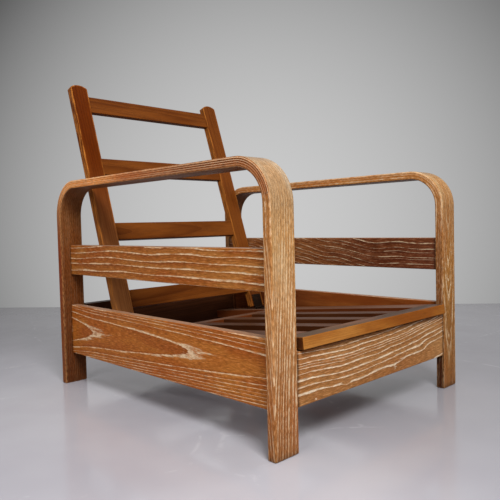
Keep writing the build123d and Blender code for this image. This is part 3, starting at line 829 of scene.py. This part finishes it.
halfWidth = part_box("seat_front_board")[1].x
memberWidth, boardThickness = seatFrame["sideMemberWidth"], seatFrame["boardThickness"]
memberStart, memberEnd = seatFrame["frontBoardWidth"], seatFrame["memberEnd"]
crossStart, crossWidth = seatFrame["crossMemberStart"], seatFrame["crossMemberWidth"]
seatOak = oakFinish("brownOakSeatBoards", seatFrame["look"])
frontBoardOak = oakFinish("brownOakSeatFront", seatFrame["frontLook"])
slatOak = oakFinish("brownOakSlats", seatFrame["slatLook"])

size = (2 * halfWidth, memberStart, boardThickness)
board = seatBoard(size, 0, memberStart / 2, seatFrame["frontInLog"], crosswise=True, easeEnds=True)
useSecondFinish(board, (1, 0, 0), (-1, 0, 0))  # end grain soaks up more oil, and is darker; this also paints the shade in the gaps beside the legs
makePiece("seat_front_board", board, [frontBoardOak, slatOak], "seat_frame")

size = (2 * (halfWidth - memberWidth), crossWidth, boardThickness)
board = seatBoard(size, 0, crossStart + crossWidth / 2, seatFrame["crossInLog"], crosswise=True)
makePiece("seat_rear_cross", board, [seatOak], "seat_frame", "seatCrossMember")

size = (memberEnd - memberStart, memberWidth, boardThickness)
for side, sign in sides.items():
    x = sign * (halfWidth - memberWidth / 2)
    board = seatBoard(size, x, (memberStart + memberEnd) / 2, inLog(*seatFrame["sidesInLog"], sign))
    makePiece("seat_side_" + side, board, [seatOak], "seat_frame")

size = (crossStart - memberStart, seatFrame["slatWidth"], seatFrame["slatThickness"])
for place, name in zip((-1, 0, 1), ("left", "middle", "right")):
    x = place * seatFrame["slatPitch"]
    board = seatBoard(size, x, (memberStart + crossStart) / 2, inLog(*seatFrame["slatsInLog"], place))
    makePiece("seat_slat_" + name, board, [slatOak], "seat_frame")
print("seat frame laid")

# Back frame, leaning on its pivots

backFrame = {
    "lean": 18.2,
    "foot": (0.1975782, 0.1660191),  # lower front edge of the stiles, y and z
    "stileLength": 0.720, "stileWidth": 0.0523, "stileThickness": 0.0218, "halfWidth": 0.2730,
    "crown": 0.009, "crownSteps": 14,
    "footBevel": (0.00636, 0.00999),  # along the stile, and into it
    "rungFirst": 0.075, "rungPitch": 0.1958, "rungHeight": 0.050, "rungThickness": 0.0158,
    "easedBy": 0.002, "stilesInLog": ((0.0, 0.01, 0.01), (0.4, 0.0, 0.0)),
    "rungsInLog": ((0.0, 0.0, 0.0), (2.2, 0.03, 0.0)),
    "rightLook": {
        **brownOak,
        **browns((108, 56, 18), (90, 43, 12), (126, 71, 25), (118, 63, 22)),
        # painted shade: the tint along the grain darkens the stile's foot
        "rubbed": tone(166, 101, 41), "wear": 0.9, "tintAlong": (0.56, 0.42, (0.6, 0.55, 0.6, 1.0)),
    },
    "rungLook": {
        **brownOak,
        "pith": (0.02, -0.12),
        **browns((105, 54, 16), (84, 40, 11), (124, 68, 24), (120, 66, 24)),
    },
}
backFrame["leftLook"] = {
    **backFrame["rightLook"],
    # painted light and shade: this stile is painted lighter than the right one at its foot, and darker from
    # low down up to its top
    **browns((155, 96, 52), (130, 77, 40), (170, 112, 64), (162, 103, 58)),
    "rubbed": tone(188, 117, 49), "tintAlong": (-0.34, 0.1, (0.32, 0.155, 0.036, 1.0)),
}
lean = radians(backFrame["lean"])
alongBack = Vector((0, sin(lean), cos(lean)))
aheadOfBack = Vector((0, -cos(lean), sin(lean)))
stileLength, stileWidth = backFrame["stileLength"], backFrame["stileWidth"]
stileThickness, easedBy = backFrame["stileThickness"], backFrame["easedBy"]


def onBack(x, run):
    # in the middle of the back's thickness
    foot = Vector((x, *backFrame["foot"]))
    return foot + alongBack * run - aheadOfBack * stileThickness / 2


def stileOutline():
    crown, steps, half = backFrame["crown"], backFrame["crownSteps"], stileWidth / 2
    radius = (half ** 2 + crown ** 2) / (2 * crown)
    outline = [(0, -half), (stileLength - crown, -half)]
    for step in range(1, steps):
        across = stileWidth * (step / steps - 0.5)
        outline.append((stileLength - radius + (radius ** 2 - across ** 2) ** 0.5, across))
    return outline + [(stileLength - crown, half), (0, half)]


rungOak = oakFinish("brownOakRungs", backFrame["rungLook"])
for side, sign in sides.items():
    stileOak = oakFinish("brownOakStile" + side.capitalize(), backFrame[side + "Look"])
    place = standing(onBack(sign * (backFrame["halfWidth"] - stileWidth / 2), 0), alongBack, (-1, 0, 0))
    board = cutBoard(
        stileOutline(), stileThickness, easedBy, place, inLog(*backFrame["stilesInLog"], sign),
        footBevel=backFrame["footBevel"], wornAndLitSides=True,
    )
    makePiece("back_stile_" + side, board, [stileOak], "back_frame")
outline = rectangle(2 * (backFrame["halfWidth"] - stileWidth), backFrame["rungHeight"])
for row, name in enumerate(("bottom", "lower", "upper", "top")):
    middle = onBack(0, backFrame["rungFirst"] + row * backFrame["rungPitch"])
    place = standing(middle, (1, 0, 0), alongBack)
    logPlace = inLog(*backFrame["rungsInLog"], row)
    board = cutBoard(outline, backFrame["rungThickness"], easedBy, place, logPlace, easeEnds=False)
    makePiece("back_rung_" + name, board, [rungOak], "back_frame")
print("back frame hung")

# Fittings

fittings = {
    "iron": {
        "nodes": (
            "stile_hinge_leaf_left", "stile_hinge_leaf_right", "seat_hinge_leaf_left",
            "seat_hinge_leaf_right", "stile_hinge_screws", "seat_hinge_screws",
        ),
        "dark": tone(44, 32, 24), "bare": tone(84, 70, 56), "rust": tone(74, 44, 28),
        "roughness": 0.55,
    },
    "steel": {
        "nodes": ("hinge_pins", "pivot_bolts"), "dark": tone(78, 74, 70),
        "bare": tone(142, 136, 128), "rust": tone(96, 70, 52), "roughness": 0.36,
    },
    "blotchPace": (140.0, 140.0, 140.0), "gritPace": (1600.0, 1600.0, 1600.0),
    "rustLevels": (0.45, 0.75), "bareLevels": (0.5, 0.75, 0.0, 0.6), "roughLevels": (0.3, 0.7),
    "roughSpread": (-0.08, 0.14), "gritRelief": 0.5, "bump": (0.35, 0.0003), "metallic": 0.85,
}
beechLook = {
    **brownOak,
    **browns((205, 164, 118), (188, 145, 100), (216, 180, 136), (146, 90, 34)),
    "ringSpacing": 0.002, "wobblePace": (6.0, 40.0, 6.0), "pith": (0.3, 0.9),
}


def metalFinish(name, look):
    material = startTree(bpy.data.materials.new(name))
    place = addNode("TexCoord").outputs["Object"]
    blotches = noise(place, fittings["blotchPace"], 4.0, 0.6)
    grit = noise(place, fittings["gritPace"], 3.0, 0.7)
    color = blendColor(ease(blotches, *fittings["rustLevels"]), look["dark"], look["rust"])
    color = blendColor(ease(grit, *fittings["bareLevels"]), color, look["bare"])
    least, most = (look["roughness"] + spread for spread in fittings["roughSpread"])
    rough = ease(blotches, *fittings["roughLevels"], least, most)
    bump = bumpOf(calc("MULTIPLY_ADD", grit, fittings["gritRelief"], blotches), *fittings["bump"])
    surface(color, rough, Metallic=fittings["metallic"], Normal=bump)
    return material


def dress(nodes, material):
    for node in nodes:
        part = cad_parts[node]
        part.data.materials.clear()
        part.data.materials.append(material)


dress(fittings["iron"]["nodes"], metalFinish("darkIron", fittings["iron"]))
dress(fittings["steel"]["nodes"], metalFinish("wornSteel", fittings["steel"]))
dress(["pivot_spacers"], oakFinish("brownOakSpacers", brownOak, carried=True))
dress(["rail_dowels", "seat_dowels"], oakFinish("beechDowels", beechLook, carried=True))
print("fittings dressed")

# Floor, wall, lamps and camera

studio = {
    "wallLine": ((0.209, 2.091), (1.826, 0.110)),  # two points where floor and wall meet
    "wallLength": 3.6, "wallHeight": 2.4, "wallColor": (0.593, 0.593, 0.593, 1.0),
    "paintedLightOnWall": (1.0736, 1.0312, 0.3885),  # the middle of a pool of light painted on the wall
    "paintedLightOnWallFade": (0.0, 5.69, 1.0, -2.12),  # from and to this far away, and the levels there
    "paintedLightOnWallLeast": 0.16, "floorReach": 7.0, "floorColor": tone(182, 180, 186),
    "floorDark": tone(170, 167, 174), "floorClouds": (0.35, 0.65),
    "paintedLightOnFloor": (-0.8, 0.0, 0.0),  # the middle of a pool of light painted on the floor
    "paintedLightOnFloorFade": (0.55, 1.5, 1.03, 0.61),
    "paintedShadowOnFloor": (0.0, -0.4, 0.0),  # and the middle of a shadow painted on it, under the front rail
    "paintedShadowOnFloorFade": (0.05, 0.42, 0.78, 1.0), "floorMarks": tone(226, 224, 226), "markWidth": 0.012,
    "markLevels": (0.5, 0.64, 0.0, 0.16), "floorRoughness": (0.35, 0.7, 0.1, 0.2),
    "cloudPace": (1.1, 1.1, 1.1), "scuffPace": (9.0, 9.0, 9.0), "swirlPace": (1.0, 1.0, 1.0),
    "markPace": (1.9, 1.9, 1.9), "worldColor": (0.80, 0.80, 0.81, 1.0), "worldLight": 0.18,
    "worldShown": 0.62,
}
lamps = {
    "softboxFront": {"at": (-1.1, -1.9, 2.1), "size": (0.9, 0.9), "watts": 78.0, "mirrored": False},
    "softboxAbove": {"at": (0.2, -0.3, 2.7), "size": (2.4, 2.0), "watts": 14.0, "mirrored": True},
    "softboxRight": {"at": (2.1, -1.0, 1.5), "size": (1.2, 1.2), "watts": 14.0, "mirrored": False},
    "softboxLeft": {"at": (-2.5, -0.6, 1.6), "size": (1.4, 1.4), "watts": 22.0, "mirrored": True},
    "softboxRear": {"at": (-0.9, 2.4, 1.7), "size": (1.2, 1.2), "watts": 9.0, "mirrored": False},
}
lampAim = Vector((0.0, 0.0, 0.35))
portrait = {
    "at": (-1.0807, -1.13627, 0.4309), "toRight": (0.71618577, -0.69747661, -0.02458305),
    "toTop": (0.04815804, 0.01424861, 0.99873809), "lens": 41.48, "sensorWidth": 36.0,
}


def seenBackground():
    # by the camera, and in what mirrors it or lets it through
    rays = addNode("LightPath").outputs
    through = calc("MAXIMUM", rays["Is Glossy Ray"], rays["Is Transmission Ray"])
    return calc("MAXIMUM", rays["Is Camera Ray"], through)


def nearness(spot, fade):
    place = addNode("TexCoord").outputs["Object"]
    return ease(vectorCalc("DISTANCE", place, spot), *fade)


def floorFinish():
    material = startTree(bpy.data.materials.new("sealedFloor"))
    place = addNode("TexCoord").outputs["Object"]
    clouds = noise(place, studio["cloudPace"], 4.0, 0.6)
    scuffs = noise(place, studio["scuffPace"], 5.0, 0.7, 1.2)
    color = blendColor(ease(clouds, *studio["floorClouds"]), studio["floorDark"], studio["floorColor"])
    # a painted shadow on the floor, under the front rail
    shade = nearness(studio["paintedShadowOnFloor"], studio["paintedShadowOnFloorFade"])
    color = blendColor(1.0, color, shade, "MULTIPLY")
    # a painted pool of light, fading away from the left of the chair
    spot = nearness(studio["paintedLightOnFloor"], studio["paintedLightOnFloorFade"])
    color = blendColor(1.0, color, spot, "MULTIPLY")
    # faint marks along the edges of swirled cells
    swirl = noise(place, studio["swirlPace"], 4.0, output="Color")
    swirled = vectorCalc("ADD", vectorCalc("MULTIPLY", place, studio["markPace"]), swirl)
    cells = addNode("TexVoronoi", {"Vector": swirled, "Scale": 1.0}, feature="DISTANCE_TO_EDGE")
    marks = ease(cells.outputs["Distance"], 0.0, studio["markWidth"], 1.0, 0.0)
    marks = times(marks, ease(scuffs, *studio["markLevels"]))
    color = blendColor(marks, color, studio["floorMarks"])
    surface(color, ease(scuffs, *studio["floorRoughness"]))
    return material


def wallFinish():
    material = startTree(bpy.data.materials.new("paintedWall"))
    # a painted pool of light, fading towards the wall's edges
    level = nearness(studio["paintedLightOnWall"], studio["paintedLightOnWallFade"])
    level = calc("MAXIMUM", level, studio["paintedLightOnWallLeast"])
    color = blendColor(1.0, studio["wallColor"], level, "MULTIPLY")
    paint = addNode("BsdfDiffuse", {"Color": color}).outputs[0]
    # to the camera and in mirrors the wall glows with this painted light, though it is no lamp
    shown = addNode("Emission", {"Color": color, "Strength": 1.0}).outputs[0]
    front = addNode("MixShader", {0: seenBackground(), 1: paint, 2: shown}).outputs[0]
    # seen from behind, the wall is clear
    back = addNode("NewGeometry").outputs["Backfacing"]
    clear = addNode("BsdfTransparent").outputs[0]
    mixed = addNode("MixShader", {0: back, 1: front, 2: clear}).outputs[0]
    addNode("OutputMaterial", {"Surface": mixed})
    return material


def flatSheet(name, corners, finish):
    bm = bmesh.new()
    bm.faces.new([bm.verts.new(corner) for corner in corners])
    addObject(name, bm, [finish])


def setStudio():
    reach = studio["floorReach"]
    flatSheet("floor", [(*corner, 0) for corner in rectangle(2 * reach, 2 * reach)], floorFinish())
    nearEnd, farEnd = (Vector((*point, 0)) for point in studio["wallLine"])
    middle = (nearEnd + farEnd) / 2
    half = (farEnd - nearEnd).normalized() * studio["wallLength"] / 2
    up = Vector((0, 0, studio["wallHeight"]))
    flatSheet("wall", [middle - half, middle + half, middle + half + up, middle - half + up], wallFinish())


def setWorld():
    world = startTree(bpy.data.worlds.new("studioAir"))
    light, shown = studio["worldLight"], studio["worldShown"]
    strength = calc("MULTIPLY_ADD", seenBackground(), shown - light, light)
    sky = addNode("Background", {"Color": studio["worldColor"], "Strength": strength})
    addNode("OutputWorld", {"Surface": sky.outputs[0]})
    bpy.context.scene.world = world


def hangLamp(name, lamp):
    light = bpy.data.lights.new(name, "AREA")
    light.shape = "RECTANGLE"
    light.size, light.size_y = lamp["size"]
    light.energy = lamp["watts"]
    holder = bpy.data.objects.new(name, light)
    holder.location = lamp["at"]
    holder.rotation_euler = (lampAim - Vector(lamp["at"])).to_track_quat("-Z", "Y").to_euler()
    holder.visible_camera = False
    holder.visible_glossy = lamp["mirrored"]  # those that aren't would glare on the floor
    bpy.context.scene.collection.objects.link(holder)


def setCamera():
    lens = bpy.data.cameras.new("portraitCamera")
    lens.lens = portrait["lens"]
    lens.sensor_width = portrait["sensorWidth"]
    camera = bpy.data.objects.new("portraitCamera", lens)
    camera.matrix_world = standing(portrait["at"], portrait["toRight"], portrait["toTop"])
    bpy.context.scene.collection.objects.link(camera)
    bpy.context.scene.camera = camera


for name, lamp in lamps.items():
    hangLamp(name, lamp)
setWorld()
setStudio()
setCamera()
bpy.context.scene.view_settings.view_transform = "Standard"
print("studio set")
